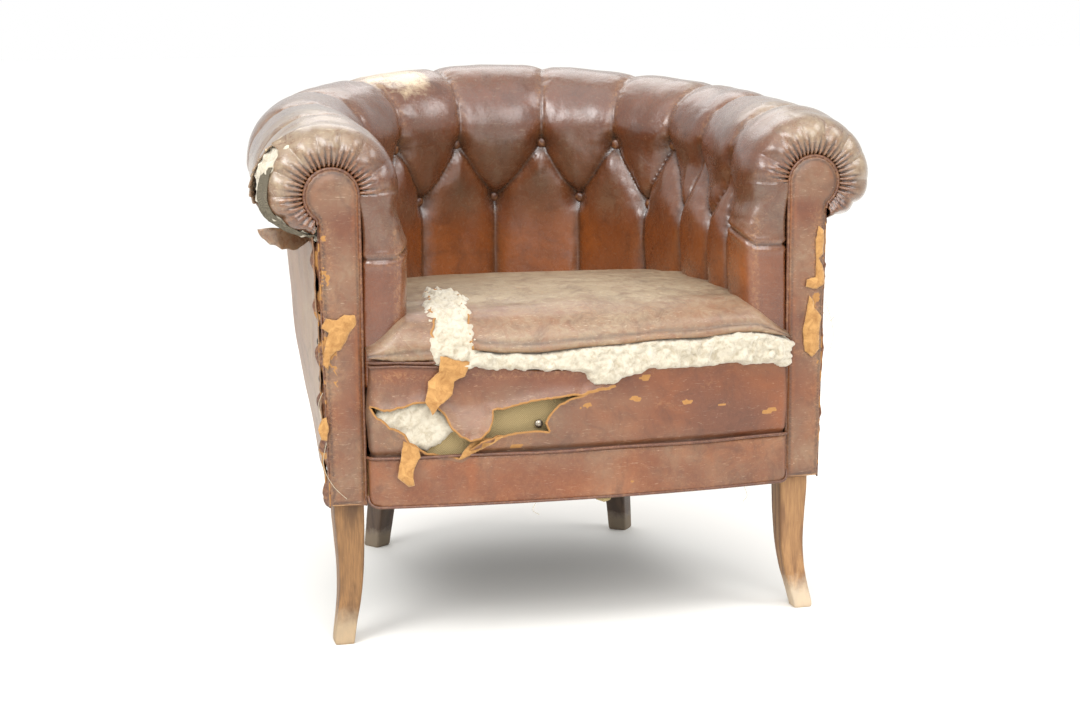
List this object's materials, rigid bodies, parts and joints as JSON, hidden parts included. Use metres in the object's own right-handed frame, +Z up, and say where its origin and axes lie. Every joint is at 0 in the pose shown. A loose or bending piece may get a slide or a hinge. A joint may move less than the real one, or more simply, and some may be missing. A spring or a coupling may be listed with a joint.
{
  "type": "worn club chair",
  "caption": "Worn leather club chair with a rolled, deep-buttoned tub back and arms, a split sprung seat and short tapered wooden legs.",
  "frame": {"origin": "on the floor, under the middle of the bounding box", "axes": "+Z up, -Y towards the sitter's front, +X to the right of someone who faces the chair"},
  "size_m": [0.799, 0.6606, 0.718],
  "materials": {
    "frame_wood": "plain unfinished hardwood",
    "stuffing": "matted curled hair",
    "bottom_cloth": "plain black dust cloth",
    "button_leather": "semi-gloss aniline leather, darkened in the folds",
    "facing_leather": "polished leather, rubbed to tan suede along the outer edges",
    "front_leather": "polished leather, torn, scuffed and nicked",
    "hessian": "coarse plain weave",
    "wadding": "lumpy cotton wadding",
    "front_leg_wood": "worn clear finish over a wavy grain",
    "outside_leather": "polished leather, faded on its left side",
    "rear_leg_wood": "dark stain, rubbed at the foot",
    "seat_leather": "worn, scratched leather, split along the front",
    "spring_steel": "plain drawn wire",
    "webbing": "jute webbing",
    "tufted_leather": "polished, creased leather, greyed on the rolls and orange-brown lower down"
  },
  "bodies": {
    "root": {"arm_rail_left": "frame_wood", "arm_rail_right": "frame_wood", "arm_stuffing_left": "stuffing", "arm_stuffing_right": "stuffing", "back_post_left": "frame_wood", "back_post_right": "frame_wood", "back_rail": "frame_wood", "back_stuffing": "stuffing", "bottom_cloth": "bottom_cloth", "button_lower_left_1": "button_leather", "button_lower_left_2": "button_leather", "button_lower_left_3": "button_leather", "button_lower_left_4": "button_leather", "button_lower_left_5": "button_leather", "button_lower_middle": "button_leather", "button_lower_right_1": "button_leather", "button_lower_right_2": "button_leather", "button_lower_right_3": "button_leather", "button_lower_right_4": "button_leather", "button_lower_right_5": "button_leather", "button_upper_left_1": "button_leather", "button_upper_left_2": "button_leather", "button_upper_left_3": "button_leather", "button_upper_left_4": "button_leather", "button_upper_left_5": "button_leather", "button_upper_right_1": "button_leather", "button_upper_right_2": "button_leather", "button_upper_right_3": "button_leather", "button_upper_right_4": "button_leather", "button_upper_right_5": "button_leather", "facing_board_left": "frame_wood", "facing_board_right": "frame_wood", "facing_cover_left": "facing_leather", "facing_cover_right": "facing_leather", "front_band_cover": "front_leather", "front_border_canvas": "hessian", "front_border_cover": "front_leather", "front_border_wadding": "wadding", "front_leg_left": "front_leg_wood", "front_leg_right": "front_leg_wood", "front_post_left": "frame_wood", "front_post_right": "frame_wood", "front_rail": "frame_wood", "outside_cover": "outside_leather", "rear_leg_left": "rear_leg_wood", "rear_leg_right": "rear_leg_wood", "seat_cover": "seat_leather", "seat_spring_1": "spring_steel", "seat_spring_2": "spring_steel", "seat_spring_3": "spring_steel", "seat_spring_4": "spring_steel", "seat_spring_5": "spring_steel", "seat_stuffing": "stuffing", "seat_wadding": "wadding", "seat_webbing": "webbing", "side_rail_left": "frame_wood", "side_rail_right": "frame_wood", "spring_canvas": "hessian", "top_back_rail": "frame_wood", "tub_cover": "tufted_leather"}
  },
  "joints": []
}
